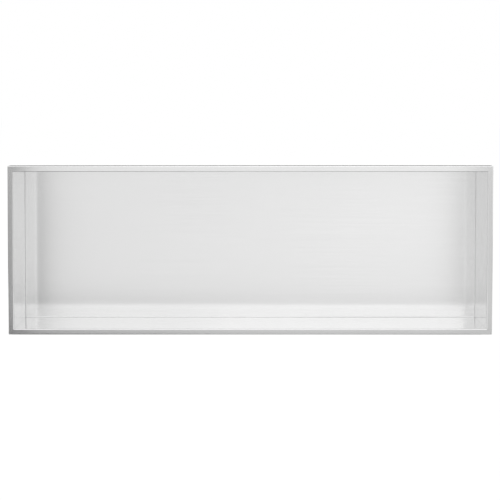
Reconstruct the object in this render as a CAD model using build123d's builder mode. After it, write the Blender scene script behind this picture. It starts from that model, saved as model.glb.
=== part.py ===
"""Shower niche insert: one stainless steel sheet folded into a long open box with a rim round its mouth.

X runs along the niche, Y into the wall and Z up. The origin is the centre of the back panel's outer face,
so the mouth opens towards -Y. Sizes are in millimetres.
"""

import os

from build123d import *

# Sheet
sheet = 1.0  # thickness of the steel
rim_fold_radius = 0.5  # inside radius of the rim's two folds
back_fold_radius = 1.5  # inside radius of the folds round the back panel

# Box, measured inside and over its depth
opening_width = 900.0  # between the two end walls
opening_height = 300.0  # between the floor and the ceiling
overall_depth = 100.0  # from the rim's front face to the back panel's outer face

# Rim round the mouth
rim_width = 11.0  # from a wall's inner face to the rim's outer edge
rim_return = 15.0  # from the rim's front face to the free edge folded back behind it
corner_radius = 2.0  # the rim's outer corners, ground round after welding

# Sizes that follow
overall_width = opening_width + 2 * rim_width
overall_height = opening_height + 2 * rim_width
ground_radius = min(corner_radius, 2 * sheet)  # grinding stops before it goes through the corner weld
back_strip = 10 * sheet  # width of the back panel that is drawn with each wall

# Places of the sheet's middle layer, on which the folds are set out
middle = sheet / 2
rim_middle_radius = rim_fold_radius + middle
back_middle_radius = back_fold_radius + middle
wall_middle = middle
back_middle = -middle
rim_middle = middle - overall_depth
return_middle = rim_width - middle
return_end = rim_return - overall_depth

# The folded section is drawn at the middle of the ceiling, outward along Z and inward along Y
section_plane = Plane(origin=(0, 0, opening_height / 2), x_dir=(0, 0, 1), z_dir=(-1, 0, 0))

with BuildPart() as niche_body:
    # Wall, rim and return: one folded section led round the mouth, mitred at the four corners
    with BuildLine(Plane.XZ) as mouth:
        Polyline(
            (0, opening_height / 2),
            (-opening_width / 2, opening_height / 2),
            (-opening_width / 2, -opening_height / 2),
            (opening_width / 2, -opening_height / 2),
            (opening_width / 2, opening_height / 2),
            close=True,
        )
    with BuildSketch(section_plane) as folded_section:
        with BuildLine() as fold_line:
            FilletPolyline(
                (-back_strip, back_middle),
                (wall_middle, back_middle),
                (wall_middle, rim_middle),
                (return_middle, rim_middle),
                (return_middle, return_end),
                radius=[back_middle_radius, rim_middle_radius, rim_middle_radius],
            )
        trace(line_width=sheet)
    sweep(path=mouth.wires()[0], transition=Transition.RIGHT)

    # Back panel, which closes the ring of walls
    with BuildSketch(Plane.XZ) as back_panel:
        Rectangle(opening_width - 2 * back_strip, opening_height - 2 * back_strip)
    extrude(amount=sheet)

    # Outer corners of the rim and its return, ground round
    with BuildSketch(Plane.XZ) as corner_waste:
        with GridLocations(overall_width, overall_height, 2, 2):
            Rectangle(2 * ground_radius, 2 * ground_radius)
        RectangleRounded(overall_width, overall_height, ground_radius, mode=Mode.SUBTRACT)
    extrude(amount=2 * overall_depth, mode=Mode.SUBTRACT)

niche_body.part.label = "niche_body"

os.makedirs("parts", exist_ok=True)
export_step(niche_body.part, "parts/niche_body.step")
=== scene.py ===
"""Looks of the shower niche insert: satin stainless steel, folded and welded, in a plain white studio.

Metres, in the part's own frame: X along the niche, Y into the wall, Z up.
The origin is on the back panel's outer face.
"""

import math

import bpy
from mathutils import Euler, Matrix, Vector


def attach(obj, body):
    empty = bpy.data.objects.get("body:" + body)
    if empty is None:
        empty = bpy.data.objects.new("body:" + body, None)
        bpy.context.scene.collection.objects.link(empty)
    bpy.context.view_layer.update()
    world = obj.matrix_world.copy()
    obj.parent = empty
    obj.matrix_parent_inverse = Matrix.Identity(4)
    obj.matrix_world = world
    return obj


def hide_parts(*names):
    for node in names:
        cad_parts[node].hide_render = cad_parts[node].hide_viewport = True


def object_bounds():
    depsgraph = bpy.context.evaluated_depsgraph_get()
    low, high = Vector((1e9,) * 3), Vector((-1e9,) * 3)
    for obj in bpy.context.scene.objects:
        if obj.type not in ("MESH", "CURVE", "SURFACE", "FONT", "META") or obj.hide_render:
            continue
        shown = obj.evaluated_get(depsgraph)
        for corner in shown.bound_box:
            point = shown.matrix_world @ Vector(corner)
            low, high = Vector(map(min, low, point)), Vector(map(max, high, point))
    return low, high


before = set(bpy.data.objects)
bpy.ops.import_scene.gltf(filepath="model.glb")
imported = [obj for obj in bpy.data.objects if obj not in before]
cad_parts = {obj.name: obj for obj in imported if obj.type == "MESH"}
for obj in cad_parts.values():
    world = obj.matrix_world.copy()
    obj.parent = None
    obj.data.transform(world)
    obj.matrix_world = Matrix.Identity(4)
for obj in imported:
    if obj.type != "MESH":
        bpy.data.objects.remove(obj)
cad_low, cad_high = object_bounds()

# Sheet and rim, as folded
SHEET = 0.0010
FOLD_RADIUS = 0.0005
BACK_FOLD_RADIUS = 0.0015
RIM_WIDTH = 0.011
RIM_RETURN = 0.015
CORNER_RADIUS = 0.002
BACK_STRIP = 0.010

# Fineness of the mesh
FOLD_STEPS = 8
CORNER_STEPS = 5
MERGE_DISTANCE = 1e-6
SHARP_ANGLE = math.radians(35)
FLAT_FACE_WEIGHT = 100

# Sizes that the frame gives
OVERALL_WIDTH = cad_high.x - cad_low.x
OVERALL_HEIGHT = cad_high.z - cad_low.z
DEPTH = cad_high.y - cad_low.y

# Brushing: how many sheets in front of the back a wall begins, and how many outside the wall the rim begins
WALL_BEGINS = 1.6
RIM_BEGINS = 1.2
QUARTER_TURN = 0.25

# Steel, brushed along the sheet
STEEL_COLOUR = 0.77
STEEL_ROUGHNESS = 0.17
STEEL_ANISOTROPY = 0.2
HAIRLINE_LENGTH = 0.045
HAIRLINE_WIDTH = 0.0004
HAIRLINE_TONE = 0.05
HAIRLINE_ROUGHNESS = 0.04
HAIRLINE_DEPTH = 0.000002
STREAK_LENGTH = 0.30
STREAK_WIDTH = 0.003
STREAK_TONE = 0.03
LINE_DETAIL = 3.0
CLOUD_SIZE = 0.12
CLOUD_TONE = 0.02
CLOUD_ROUGHNESS = 0.02
CLOUD_DETAIL = 2.0

# Welds at the rim's mitres and the wall corners, ground flush
WELD_WIDTH = 0.0012
WELD_TONE = -0.06
WELD_ROUGHNESS = 0.06

# Camera
CAMERA_PLACE = Vector((-0.0006, -1.9324, 0.2994))
CAMERA_PITCH = math.radians(1.897)
CAMERA_SENSOR = 36.0
CAMERA_LENS = 69.79
CAMERA_SHIFT = -0.25

# Studio: white surroundings and floor
FLOOR_DROP = 0.60
FLOOR_SPAN = 60.0
FLOOR_COLOUR = 0.8
FLOOR_GLOW = 0.2

# Glowing cards at the left and right of a clear window in front of the niche, with painted light and shade
# from corner to corner that the steel reflects
CARD_PLANE = -1.3
CARD_REACH = 0.8
LEFT_EDGE = -0.71
LEFT_CARD_HIGH = 0.20
LEFT_CARD_SHADES = (0.0, 0.2, 0.4, 1.0)
RIGHT_EDGE = 0.69
RIGHT_CARD_HIGH = 0.11
RIGHT_CARD_SHADES = (0.73, 0.65, 0.22, 0.80)

# Glowing cards under the window's sill, with painted shade that the rim and folds reflect, and a bright
# glowing lip that stands on the sill
SILL_LEFT = -0.46
SILL_MIDDLE = -0.45
SILL_RIGHT = -0.43
SILL_CARD_LEFT = 0.0
SILL_CARD_MIDDLE = 0.41
SILL_CARD_RIGHT = 0.53
SILL_FOOT_LEFT = 0.35
SILL_FOOT_MIDDLE = 0.80
SILL_FOOT_RIGHT = 0.15
LIP_HEIGHT = 0.09
LIP_FOOT_LEFT = 0.67
LIP_FOOT_MIDDLE = 0.82
LIP_FOOT_RIGHT = 1.03
LIP_TOP_LEFT = 1.22
LIP_TOP_MIDDLE = 1.25
LIP_TOP_RIGHT = 1.25
# A black card under the niche: a painted shadow of the ground, seen only in the steel's reflections
PAINTED_GROUND_SHADOW = 0.0
LOW_CARD_DROP = 0.55
LOW_CARD_REACH = 1.2

# Glowing wings at the two sides, with painted light and shade that the folds and the end walls reflect
WING_PLACE = 1.35
WING_FRONT = -1.15
WING_HIGH = 0.12
LEFT_WING_BACK = -0.45
LEFT_WING_SHADES = (0.55, 0.8, 1.2, 1.0)
RIGHT_WING_BACK = 0.5
RIGHT_WING_SHADES = (0.75, 0.9, 1.25, 0.95)
UPPER_WING_HIGH = 0.42
UPPER_WING_SHADES = (0.45, 0.1, 0.25, 0.15)

# Glowing far wall behind the camera, painted a little brighter at the right, and a dark low card behind the
# niche, a painted shade for the steel's reflections
FAR_PLANE = -4.0
FAR_HALF_WIDTH = 1.6
FAR_HIGH = 0.30
FAR_WALL_SHADES = (0.96, 1.18, 1.03, 0.98)
BACK_CARD_PLACE = 1.5
BACK_CARD_WIDTH = 3.0
BACK_CARD_HEIGHT = 0.5
BACK_CARD_SHADES = (0.05, 0.0, 0.0, 0.05)

# Softboxes side by side over the camera: left edge, right edge, and brightness
SOFTBOX_PLANE = -2.6
SOFTBOX_FOOT = 0.325
SOFTBOX_HEIGHT = 3.0
SOFTBOXES = {
    "softbox_left": (-1.0, -0.2, 0.42),
    "softbox_right": (-0.2, 1.5, 0.53),
}

# Overhead lamps for the bright lines along the folds: left, right, front and back edge, and brightness
OVERHEAD_HIGH = 2.2
OVERHEAD_LAMPS = {
    "overhead": (-1.5, 1.5, -1.2, 0.0, 0.34),
    "overhead_left": (-1.5, 0.3, -1.7, -1.2, 0.67),
}


def add_node(tree, kind, **settings):
    """A new node with its settings."""
    node = tree.nodes.new(kind)
    for name, value in settings.items():
        setattr(node, name, value)
    return node


def plug(tree, socket, value):
    """Joins an output to a socket, or sets the socket's own value."""
    if isinstance(value, bpy.types.NodeSocket):
        tree.links.new(value, socket)
    else:
        socket.default_value = value


def calculate(tree, operation, first, second=0.0):
    """A Math node's result."""
    node = add_node(tree, "ShaderNodeMath", operation=operation)
    plug(tree, node.inputs[0], first)
    plug(tree, node.inputs[1], second)
    return node.outputs[0]


def compare(tree, operation, first, second):
    """A comparison of two numbers, as true or false."""
    node = add_node(tree, "FunctionNodeCompare", data_type="FLOAT", operation=operation)
    plug(tree, node.inputs[0], first)
    plug(tree, node.inputs[1], second)
    return node.outputs[0]


def combine(tree, operation, first, second):
    """A Boolean Math node's result."""
    node = add_node(tree, "FunctionNodeBooleanMath", operation=operation)
    plug(tree, node.inputs[0], first)
    plug(tree, node.inputs[1], second)
    return node.outputs[0]


def choose(tree, switch, when_false, when_true):
    """A number that depends on a test."""
    node = add_node(tree, "GeometryNodeSwitch", input_type="FLOAT")
    plug(tree, node.inputs["Switch"], switch)
    plug(tree, node.inputs["False"], when_false)
    plug(tree, node.inputs["True"], when_true)
    return node.outputs[0]


def point(tree, x, y, z=0.0):
    """A vector from three numbers."""
    node = add_node(tree, "ShaderNodeCombineXYZ")
    for socket, value in zip(node.inputs, (x, y, z)):
        plug(tree, socket, value)
    return node.outputs[0]


def parts_of(tree, vector):
    """A vector's three numbers."""
    node = add_node(tree, "ShaderNodeSeparateXYZ")
    plug(tree, node.inputs[0], vector)
    return node.outputs


def per_face(tree, value):
    """The number's mean over each face."""
    node = add_node(tree, "GeometryNodeFieldOnDomain", data_type="FLOAT", domain="FACE")
    plug(tree, node.inputs[0], value)
    return node.outputs[0]


def by_index(tree, kind, index, values):
    """The value that belongs to each index."""
    node = add_node(tree, "GeometryNodeIndexSwitch", data_type=kind)
    while len(node.index_switch_items) < len(values):
        node.index_switch_items.new()
    plug(tree, node.inputs["Index"], index)
    for number, value in enumerate(values):
        plug(tree, node.inputs[str(number)], value)
    return node.outputs[0]


def remember(tree, geometry, kind, name, value):
    """The geometry with a value kept on its points, and that value."""
    node = add_node(tree, "GeometryNodeCaptureAttribute", domain="POINT")
    node.capture_items.new(kind, name)
    plug(tree, node.inputs["Geometry"], geometry)
    plug(tree, node.inputs[name], value)
    return node.outputs["Geometry"], node.outputs[name]


def niche_inputs(tree):
    """The tree's named sizes, as outputs of its Group Input."""
    lengths = (
        "Opening Width", "Opening Height", "Depth", "Sheet", "Fold Radius", "Back Fold Radius",
        "Rim Width", "Rim Return", "Corner Radius", "Back Strip",
    )
    for name in lengths:
        tree.interface.new_socket(name, in_out="INPUT", socket_type="NodeSocketFloat")
    for name in ("Fold Steps", "Corner Steps"):
        tree.interface.new_socket(name, in_out="INPUT", socket_type="NodeSocketInt")
    tree.interface.new_socket("Finish", in_out="INPUT", socket_type="NodeSocketMaterial")
    tree.interface.new_socket("Geometry", in_out="OUTPUT", socket_type="NodeSocketGeometry")
    return add_node(tree, "NodeGroupInput").outputs


def half_opening(tree, given):
    """Half the opening's width and half its height."""
    return [calculate(tree, "MULTIPLY", given[name], 0.5) for name in ("Opening Width", "Opening Height")]


def folded_section(tree, given, index):
    """The sheet's outline in section: X outward from the wall's inner face, Y into the wall."""
    sheet, rim = given["Sheet"], given["Rim Width"]
    inner_fold = given["Fold Radius"]
    outer_fold = calculate(tree, "ADD", inner_fold, sheet)
    inner_back_fold = given["Back Fold Radius"]
    outer_back_fold = calculate(tree, "ADD", inner_back_fold, sheet)
    strip = calculate(tree, "MULTIPLY", given["Back Strip"], -1.0)
    back = calculate(tree, "MULTIPLY", sheet, -1.0)
    front = calculate(tree, "MULTIPLY", given["Depth"], -1.0)
    behind_front = calculate(tree, "ADD", front, sheet)
    free_edge = calculate(tree, "ADD", front, given["Rim Return"])
    inside_rim = calculate(tree, "SUBTRACT", rim, sheet)
    corners = (
        (strip, back, 0.0),
        (0.0, back, inner_back_fold),
        (0.0, front, outer_fold),
        (rim, front, outer_fold),
        (rim, free_edge, 0.0),
        (inside_rim, free_edge, 0.0),
        (inside_rim, behind_front, inner_fold),
        (sheet, behind_front, inner_fold),
        (sheet, 0.0, outer_back_fold),
        (strip, 0.0, 0.0),
    )
    places = [point(tree, outward, inward) for outward, inward, fold in corners]
    folds = [fold for outward, inward, fold in corners]
    dots = add_node(tree, "GeometryNodePoints")
    plug(tree, dots.inputs["Count"], len(corners))
    plug(tree, dots.inputs["Position"], by_index(tree, "VECTOR", index, places))
    plug(tree, dots.inputs["Radius"], by_index(tree, "FLOAT", index, folds))
    outline = add_node(tree, "GeometryNodePointsToCurves")
    plug(tree, outline.inputs["Points"], dots.outputs[0])
    rounded = add_node(tree, "GeometryNodeFilletCurve", mode="POLY")
    plug(tree, rounded.inputs["Curve"], outline.outputs[0])
    plug(tree, rounded.inputs["Count"], given["Fold Steps"])
    plug(tree, rounded.inputs["Radius"], add_node(tree, "GeometryNodeInputRadius").outputs[0])
    place = add_node(tree, "GeometryNodeInputPosition").outputs[0]
    return remember(tree, rounded.outputs[0], "VECTOR", "Section Place", place)


def led_round_mouth(tree, given, index):
    """The section led round the mouth.

    Each ring's corners lie on the mitres, and the outermost are ground round.
    """
    section, section_place = folded_section(tree, given, index)
    outward, inward, _ = parts_of(tree, section_place)
    steps = given["Corner Steps"]
    ring = add_node(tree, "GeometryNodeCurvePrimitiveCircle", mode="RADIUS")
    plug(tree, ring.inputs["Resolution"], calculate(tree, "MULTIPLY", steps, 4.0))
    path, number = remember(tree, ring.outputs[0], "FLOAT", "Ring Number", index)
    swept = add_node(tree, "GeometryNodeCurveToMesh")
    plug(tree, swept.inputs["Curve"], path)
    plug(tree, swept.inputs["Profile Curve"], section)

    # Each quarter of the ring is one corner, and its steps turn through the corner's right angle
    middle_of_step = calculate(tree, "ADD", number, 0.5)
    quarter = calculate(tree, "FLOOR", calculate(tree, "DIVIDE", middle_of_step, steps))
    step = calculate(tree, "SUBTRACT", number, calculate(tree, "MULTIPLY", quarter, steps))
    share = calculate(tree, "DIVIDE", step, calculate(tree, "SUBTRACT", steps, 1.0))
    angle = calculate(tree, "MULTIPLY", calculate(tree, "ADD", quarter, share), math.pi / 2)
    mitre = calculate(tree, "MULTIPLY", calculate(tree, "ADD", quarter, 0.5), math.pi / 2)

    # The ground arc shrinks with the inset from the rim's edge, and is gone where it meets the mitre
    inset = calculate(tree, "SUBTRACT", given["Rim Width"], outward)
    lost = calculate(tree, "MULTIPLY", inset, 2 + math.sqrt(2))
    ground = calculate(tree, "SUBTRACT", given["Corner Radius"], lost)
    ground = calculate(tree, "MAXIMUM", ground, 0.0)
    reach = calculate(tree, "SUBTRACT", outward, ground)

    def across(half, turn):
        side = calculate(tree, "SIGN", calculate(tree, turn, mitre))
        straight = calculate(tree, "MULTIPLY", side, calculate(tree, "ADD", half, reach))
        curved = calculate(tree, "MULTIPLY", ground, calculate(tree, turn, angle))
        return calculate(tree, "ADD", straight, curved)

    half_width, half_height = half_opening(tree, given)
    place = point(tree, across(half_width, "COSINE"), inward, across(half_height, "SINE"))
    placed = add_node(tree, "GeometryNodeSetPosition")
    plug(tree, placed.inputs["Geometry"], swept.outputs[0])
    plug(tree, placed.inputs["Position"], place)
    return placed.outputs[0]


def back_panel(tree, given):
    """The two faces of the back panel, inside the strips that are folded with the walls."""
    margin = calculate(tree, "MULTIPLY", given["Back Strip"], 2.0)
    sides = []
    for place, turn in ((calculate(tree, "MULTIPLY", given["Sheet"], -1.0), 1), (0.0, -1)):
        grid = add_node(tree, "GeometryNodeMeshGrid")
        plug(tree, grid.inputs["Size X"], calculate(tree, "SUBTRACT", given["Opening Width"], margin))
        plug(tree, grid.inputs["Size Y"], calculate(tree, "SUBTRACT", given["Opening Height"], margin))
        plug(tree, grid.inputs["Vertices X"], 2)
        plug(tree, grid.inputs["Vertices Y"], 2)
        stood = add_node(tree, "GeometryNodeTransform")
        plug(tree, stood.inputs["Geometry"], grid.outputs[0])
        plug(tree, stood.inputs["Translation"], point(tree, 0.0, place))
        plug(tree, stood.inputs["Rotation"], Euler((turn * math.pi / 2, 0, 0)))
        sides.append(stood.outputs[0])
    return sides


def with_grain(tree, given, geometry):
    """The geometry with a map of the brushing: along it in U, across it in V, in metres."""
    x, y, z = parts_of(tree, add_node(tree, "GeometryNodeInputPosition").outputs[0])
    sheet = given["Sheet"]
    half_width, half_height = half_opening(tree, given)
    beyond_end = calculate(tree, "SUBTRACT", calculate(tree, "ABSOLUTE", x), half_width)
    beyond_edge = calculate(tree, "SUBTRACT", calculate(tree, "ABSOLUTE", z), half_height)
    face_end, face_edge, face_y = (per_face(tree, value) for value in (beyond_end, beyond_edge, y))
    on_end = compare(tree, "GREATER_THAN", face_end, face_edge)
    in_front = compare(tree, "LESS_THAN", face_y, calculate(tree, "MULTIPLY", sheet, -WALL_BEGINS))
    on_end_wall = combine(tree, "AND", on_end, in_front)
    on_rim = compare(tree, "GREATER_THAN", face_end, calculate(tree, "MULTIPLY", sheet, RIM_BEGINS))
    along = choose(tree, on_end_wall, x, choose(tree, on_rim, y, z))
    across = calculate(tree, "SUBTRACT", calculate(tree, "ADD", calculate(tree, "ADD", x, y), z), along)
    stored = add_node(tree, "GeometryNodeStoreNamedAttribute", data_type="FLOAT2", domain="CORNER")
    plug(tree, stored.inputs["Geometry"], geometry)
    plug(tree, stored.inputs["Name"], "grain")
    plug(tree, stored.inputs["Value"], point(tree, along, across))
    return stored.outputs[0]


def niche_tree():
    """The niche's rule, from its named sizes to the finished sheet."""
    tree = bpy.data.node_groups.new("folded_niche", "GeometryNodeTree")
    given = niche_inputs(tree)
    index = add_node(tree, "GeometryNodeInputIndex").outputs[0]
    joined = add_node(tree, "GeometryNodeJoinGeometry")
    for piece in (led_round_mouth(tree, given, index), *back_panel(tree, given)):
        tree.links.new(piece, joined.inputs[0])
    merged = add_node(tree, "GeometryNodeMergeByDistance")
    plug(tree, merged.inputs["Geometry"], joined.outputs[0])
    plug(tree, merged.inputs["Distance"], MERGE_DISTANCE)
    edge_angle = add_node(tree, "GeometryNodeInputMeshEdgeAngle").outputs[0]
    smooth = add_node(tree, "GeometryNodeSetShadeSmooth", domain="EDGE")
    plug(tree, smooth.inputs["Geometry"], with_grain(tree, given, merged.outputs[0]))
    plug(tree, smooth.inputs["Shade Smooth"], compare(tree, "LESS_THAN", edge_angle, SHARP_ANGLE))
    realized = add_node(tree, "GeometryNodeRealizeInstances")
    plug(tree, realized.inputs[0], smooth.outputs[0])
    finished = add_node(tree, "GeometryNodeSetMaterial")
    plug(tree, finished.inputs["Geometry"], realized.outputs[0])
    plug(tree, finished.inputs["Material"], given["Finish"])
    result = add_node(tree, "NodeGroupOutput")
    plug(tree, result.inputs[0], finished.outputs[0])
    return tree


def folded_niche(steel):
    """The steel niche as a plain mesh, made by its rule."""
    tree = niche_tree()
    sizes = {
        "Opening Width": OVERALL_WIDTH - 2 * RIM_WIDTH,
        "Opening Height": OVERALL_HEIGHT - 2 * RIM_WIDTH,
        "Depth": DEPTH,
        "Sheet": SHEET,
        "Fold Radius": FOLD_RADIUS,
        "Back Fold Radius": BACK_FOLD_RADIUS,
        "Rim Width": RIM_WIDTH,
        "Rim Return": RIM_RETURN,
        "Corner Radius": CORNER_RADIUS,
        "Back Strip": BACK_STRIP,
        "Fold Steps": FOLD_STEPS,
        "Corner Steps": CORNER_STEPS,
        "Finish": steel,
    }
    maker = bpy.data.objects.new("niche_maker", bpy.data.meshes.new("niche_maker"))
    bpy.context.scene.collection.objects.link(maker)
    modifier = maker.modifiers.new("fold", "NODES")
    modifier.node_group = tree
    for socket in tree.interface.items_tree:
        if socket.in_out == "INPUT":
            modifier[socket.identifier] = sizes[socket.name]
    normals = maker.modifiers.new("flat faces stay flat", "WEIGHTED_NORMAL")
    normals.keep_sharp = True
    normals.weight = FLAT_FACE_WEIGHT
    maker.update_tag()
    made = maker.evaluated_get(bpy.context.evaluated_depsgraph_get())
    niche = bpy.data.objects.new("steel_niche", bpy.data.meshes.new_from_object(made))
    bpy.context.scene.collection.objects.link(niche)
    bpy.data.objects.remove(maker)
    return niche


def brushed_lines(tree, length, width):
    """Uneven lines along the brushing, about so long and so wide, from 0 to 1."""
    scaled = add_node(tree, "ShaderNodeVectorMath", operation="MULTIPLY")
    plug(tree, scaled.inputs[0], add_node(tree, "ShaderNodeUVMap", uv_map="grain").outputs[0])
    plug(tree, scaled.inputs[1], (1 / length, 1 / width, 0))
    noise = add_node(tree, "ShaderNodeTexNoise", noise_dimensions="2D")
    plug(tree, noise.inputs["Vector"], scaled.outputs[0])
    plug(tree, noise.inputs["Scale"], 1.0)
    plug(tree, noise.inputs["Detail"], LINE_DETAIL)
    return noise.outputs["Fac"]


def rolled_clouds(tree, place):
    """Broad, faint patches that rolling leaves in the sheet, from 0 to 1."""
    noise = add_node(tree, "ShaderNodeTexNoise", noise_dimensions="3D")
    plug(tree, noise.inputs["Vector"], place)
    plug(tree, noise.inputs["Scale"], 1 / CLOUD_SIZE)
    plug(tree, noise.inputs["Detail"], CLOUD_DETAIL)
    return noise.outputs["Fac"]


def weld_lines(tree, place):
    """1 along the ground welds, at the rim's mitres and the wall corners, and 0 elsewhere."""
    x, _, z = parts_of(tree, place)
    half_width, half_height = OVERALL_WIDTH / 2 - RIM_WIDTH, OVERALL_HEIGHT / 2 - RIM_WIDTH
    past_end = calculate(tree, "SUBTRACT", calculate(tree, "ABSOLUTE", x), half_width)
    past_edge = calculate(tree, "SUBTRACT", calculate(tree, "ABSOLUTE", z), half_height)
    off_mitre = calculate(tree, "ABSOLUTE", calculate(tree, "SUBTRACT", past_end, past_edge))
    line = add_node(tree, "ShaderNodeMapRange", interpolation_type="SMOOTHSTEP")
    plug(tree, line.inputs["Value"], off_mitre)
    plug(tree, line.inputs["From Max"], WELD_WIDTH)
    plug(tree, line.inputs["To Min"], 1.0)
    plug(tree, line.inputs["To Max"], 0.0)
    outermost = calculate(tree, "MAXIMUM", past_end, past_edge)
    off_back = calculate(tree, "GREATER_THAN", outermost, -WELD_WIDTH)
    return calculate(tree, "MULTIPLY", line.outputs["Result"], off_back)


def swayed(tree, middle, sways):
    """A number that sways about its middle with patterns that run from 0 to 1."""
    for pattern, amount in sways:
        offset = calculate(tree, "MULTIPLY", calculate(tree, "SUBTRACT", pattern, 0.5), amount)
        middle = calculate(tree, "ADD", offset, middle)
    return middle


def satin_steel():
    """Brushed stainless steel: fine hairlines, longer streaks, faint clouds and dull weld lines."""
    material = bpy.data.materials.new("satin_steel")
    material.use_nodes = True
    tree = material.node_tree
    place = add_node(tree, "ShaderNodeTexCoord").outputs["Object"]
    hairlines = brushed_lines(tree, HAIRLINE_LENGTH, HAIRLINE_WIDTH)
    streaks = brushed_lines(tree, STREAK_LENGTH, STREAK_WIDTH)
    clouds = rolled_clouds(tree, place)
    welds = weld_lines(tree, place)
    tones = ((hairlines, HAIRLINE_TONE), (streaks, STREAK_TONE), (clouds, CLOUD_TONE))
    tone = swayed(tree, STEEL_COLOUR, tones)
    tone = calculate(tree, "ADD", tone, calculate(tree, "MULTIPLY", welds, WELD_TONE))
    dullnesses = ((hairlines, HAIRLINE_ROUGHNESS), (clouds, CLOUD_ROUGHNESS))
    dullness = swayed(tree, STEEL_ROUGHNESS, dullnesses)
    dullness = calculate(tree, "ADD", dullness, calculate(tree, "MULTIPLY", welds, WELD_ROUGHNESS))
    relief = add_node(tree, "ShaderNodeBump")
    plug(tree, relief.inputs["Distance"], HAIRLINE_DEPTH)
    plug(tree, relief.inputs["Height"], hairlines)
    along = add_node(tree, "ShaderNodeTangent", direction_type="UV_MAP", uv_map="grain")

    shader = tree.nodes["Principled BSDF"]
    shader.inputs["Metallic"].default_value = 1.0
    shader.inputs["Anisotropic"].default_value = STEEL_ANISOTROPY
    shader.inputs["Anisotropic Rotation"].default_value = QUARTER_TURN
    plug(tree, shader.inputs["Base Color"], tone)
    plug(tree, shader.inputs["Roughness"], dullness)
    plug(tree, shader.inputs["Normal"], relief.outputs[0])
    plug(tree, shader.inputs["Tangent"], along.outputs[0])
    return material


def reflection_card_glow():
    """A glow whose brightness is the card's painted shade, seen only in the steel as painted reflection."""
    material = bpy.data.materials.new("reflection_card_glow")
    material.use_nodes = True
    tree = material.node_tree
    tree.nodes.remove(tree.nodes["Principled BSDF"])
    glow = add_node(tree, "ShaderNodeEmission")
    shade = add_node(tree, "ShaderNodeAttribute", attribute_name="shade")
    plug(tree, glow.inputs["Color"], shade.outputs["Color"])
    plug(tree, tree.nodes["Material Output"].inputs["Surface"], glow.outputs[0])
    return material


def white_floor():
    """Pale floor paint, lifted to white by a little glow, so that only the shadow shows on it."""
    material = bpy.data.materials.new("white_floor")
    material.use_nodes = True
    tree = material.node_tree
    shader = tree.nodes["Principled BSDF"]
    shader.inputs["Base Color"].default_value = (FLOOR_COLOUR, FLOOR_COLOUR, FLOOR_COLOUR, 1)
    shader.inputs["Roughness"].default_value = 1.0
    shader.inputs["Specular IOR Level"].default_value = 0.0
    shader.inputs["Emission Color"].default_value = (1, 1, 1, 1)
    shader.inputs["Emission Strength"].default_value = FLOOR_GLOW
    return material


def panel(name, corners, material):
    """A flat stage panel."""
    mesh = bpy.data.meshes.new(name)
    mesh.from_pydata(corners, [], [tuple(range(len(corners)))])
    mesh.materials.append(material)
    board = bpy.data.objects.new(name, mesh)
    bpy.context.scene.collection.objects.link(board)
    return board


def card(name, corners, shades, card_glow):
    """A glowing card that only the steel sees, with painted light and shade from corner to corner."""
    board = panel(name, corners, card_glow)
    colours = board.data.color_attributes.new("shade", "FLOAT_COLOR", "POINT")
    for corner, shade in zip(colours.data, shades):
        corner.color = (shade, shade, shade, 1)
    board.visible_camera = False
    board.visible_diffuse = False
    board.visible_shadow = False


def upright_card(name, plane, left, foot, right, top, shades, card_glow):
    """A card that stands across the niche's depth, shaded from its lower left corner round."""
    corners = [(left, plane, foot), (right, plane, foot), (right, plane, top), (left, plane, top)]
    card(name, corners, shades, card_glow)


def level_corners(left, front, right, back, height):
    """The corners of a level rectangle, from its front left corner round."""
    return [(left, front, height), (right, front, height), (right, back, height), (left, back, height)]


def front_cards(card_glow, floor_level):
    """Glowing cards at the left and right of the window, with painted light and shade."""
    cards = (
        ("left_card", LEFT_EDGE - CARD_REACH, LEFT_EDGE, LEFT_CARD_HIGH, LEFT_CARD_SHADES),
        ("right_card", RIGHT_EDGE, RIGHT_EDGE + CARD_REACH, RIGHT_CARD_HIGH, RIGHT_CARD_SHADES),
    )
    for name, left, right, high, shades in cards:
        upright_card(name, CARD_PLANE, left, floor_level, right, high, shades, card_glow)


def low_cards(card_glow):
    """Two glowing cards with painted shade that slope from the window's sill down under the niche, and a
    black one that lies below it as a painted shadow of the ground.

    A bright glowing lip stands on the sill above each sloping card.
    """
    foot = cad_low.z - LOW_CARD_DROP
    left = (LEFT_EDGE, SILL_LEFT, SILL_FOOT_LEFT, SILL_CARD_LEFT, LIP_FOOT_LEFT, LIP_TOP_LEFT)
    middle = (0, SILL_MIDDLE, SILL_FOOT_MIDDLE, SILL_CARD_MIDDLE, LIP_FOOT_MIDDLE, LIP_TOP_MIDDLE)
    right = (RIGHT_EDGE, SILL_RIGHT, SILL_FOOT_RIGHT, SILL_CARD_RIGHT, LIP_FOOT_RIGHT, LIP_TOP_RIGHT)
    for side, first, last in (("left", left, middle), ("right", middle, right)):
        start, start_high, start_foot, start_shade, start_lip, start_top = first
        end, end_high, end_foot, end_shade, end_lip, end_top = last
        sill = [(end, CARD_PLANE, end_high), (start, CARD_PLANE, start_high)]
        slope = [(start, 0, foot), (end, 0, foot), *sill]
        card("sill_card_" + side, slope, (start_foot, end_foot, end_shade, start_shade), card_glow)
        lip_top = [(x, y, high + LIP_HEIGHT) for x, y, high in reversed(sill)]
        card("sill_lip_" + side, [*sill, *lip_top], (end_lip, start_lip, start_top, end_top), card_glow)
    under = level_corners(LEFT_EDGE, 0, RIGHT_EDGE, LOW_CARD_REACH, foot)
    card("ground_shadow_card", under, (PAINTED_GROUND_SHADOW,) * len(under), card_glow)


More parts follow.
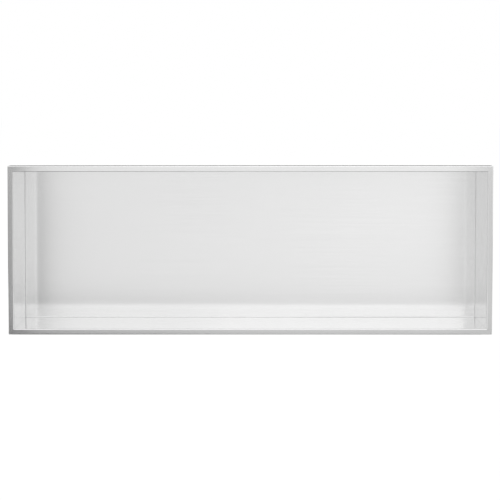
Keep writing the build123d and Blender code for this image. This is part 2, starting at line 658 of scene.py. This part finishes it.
def side_wings(card_glow, floor_level):
    """Glowing cards along the two sides of the niche, with painted light and shade from the lower front
    corner round.
    """
    wings = (
        ("left_wing", -WING_PLACE, LEFT_WING_BACK, floor_level, WING_HIGH, LEFT_WING_SHADES),
        ("right_wing", WING_PLACE, RIGHT_WING_BACK, floor_level, WING_HIGH, RIGHT_WING_SHADES),
        ("upper_wing", WING_PLACE, RIGHT_WING_BACK, WING_HIGH, UPPER_WING_HIGH, UPPER_WING_SHADES),
    )
    for name, x, back, foot, high, shades in wings:
        corners = [(x, WING_FRONT, foot), (x, back, foot), (x, back, high), (x, WING_FRONT, high)]
        card(name, corners, shades, card_glow)


def far_cards(card_glow, floor_level):
    """The glowing far wall behind the camera, and the dark low card behind the niche, a painted shade for
    the rim's thin top face.
    """
    half = FAR_HALF_WIDTH
    upright_card("far_wall", FAR_PLANE, -half, floor_level, half, FAR_HIGH, FAR_WALL_SHADES, card_glow)
    half = BACK_CARD_WIDTH / 2
    upright_card("back_card", BACK_CARD_PLACE, -half, 0, half, BACK_CARD_HEIGHT, BACK_CARD_SHADES, card_glow)


def soft_lamp(name, place, size, brightness, tilt):
    """An area lamp, tilted up from facing straight down."""
    lamp = bpy.data.lights.new(name, "AREA")
    lamp.shape = "RECTANGLE"
    lamp.size, lamp.size_y = size
    lamp.energy = brightness * math.pi * size[0] * size[1]
    holder = bpy.data.objects.new(name, lamp)
    holder.location = place
    holder.rotation_euler = Euler((tilt, 0, 0))
    holder.visible_camera = False
    bpy.context.scene.collection.objects.link(holder)


def soft_lamps():
    """The softboxes over the camera, and the lamps over the niche."""
    for name, (left, right, brightness) in SOFTBOXES.items():
        place = Vector(((left + right) / 2, SOFTBOX_PLANE, SOFTBOX_FOOT + SOFTBOX_HEIGHT / 2))
        soft_lamp(name, place, (right - left, SOFTBOX_HEIGHT), brightness, math.pi / 2)
    for name, (left, right, front, back, brightness) in OVERHEAD_LAMPS.items():
        place = Vector(((left + right) / 2, (front + back) / 2, OVERHEAD_HIGH))
        soft_lamp(name, place, (right - left, back - front), brightness, 0)


def white_room():
    """White surroundings."""
    world = bpy.data.worlds.new("white_room")
    world.use_nodes = True
    world.node_tree.nodes["Background"].inputs["Color"].default_value = (1, 1, 1, 1)
    bpy.context.scene.world = world


def studio():
    """Floor, white surroundings, cards and lamps."""
    floor_level = cad_low.z - FLOOR_DROP
    half = FLOOR_SPAN / 2
    panel("floor", level_corners(-half, -half, half, half, floor_level), white_floor())
    card_glow = reflection_card_glow()
    front_cards(card_glow, floor_level)
    low_cards(card_glow)
    side_wings(card_glow, floor_level)
    far_cards(card_glow, floor_level)
    white_room()
    soft_lamps()


def camera():
    """The photograph's view: a little above the niche, nearly level."""
    lens = bpy.data.cameras.new("camera")
    lens.sensor_width = CAMERA_SENSOR
    lens.lens = CAMERA_LENS
    lens.shift_y = CAMERA_SHIFT
    eye = bpy.data.objects.new("camera", lens)
    eye.location = CAMERA_PLACE
    eye.rotation_euler = Euler((math.pi / 2 - CAMERA_PITCH, 0, 0))
    bpy.context.scene.collection.objects.link(eye)
    bpy.context.scene.camera = eye


steel = satin_steel()
niche = folded_niche(steel)
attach(niche, "root")
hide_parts("niche_body")
studio()
camera()
bpy.context.scene.view_settings.view_transform = "Standard"
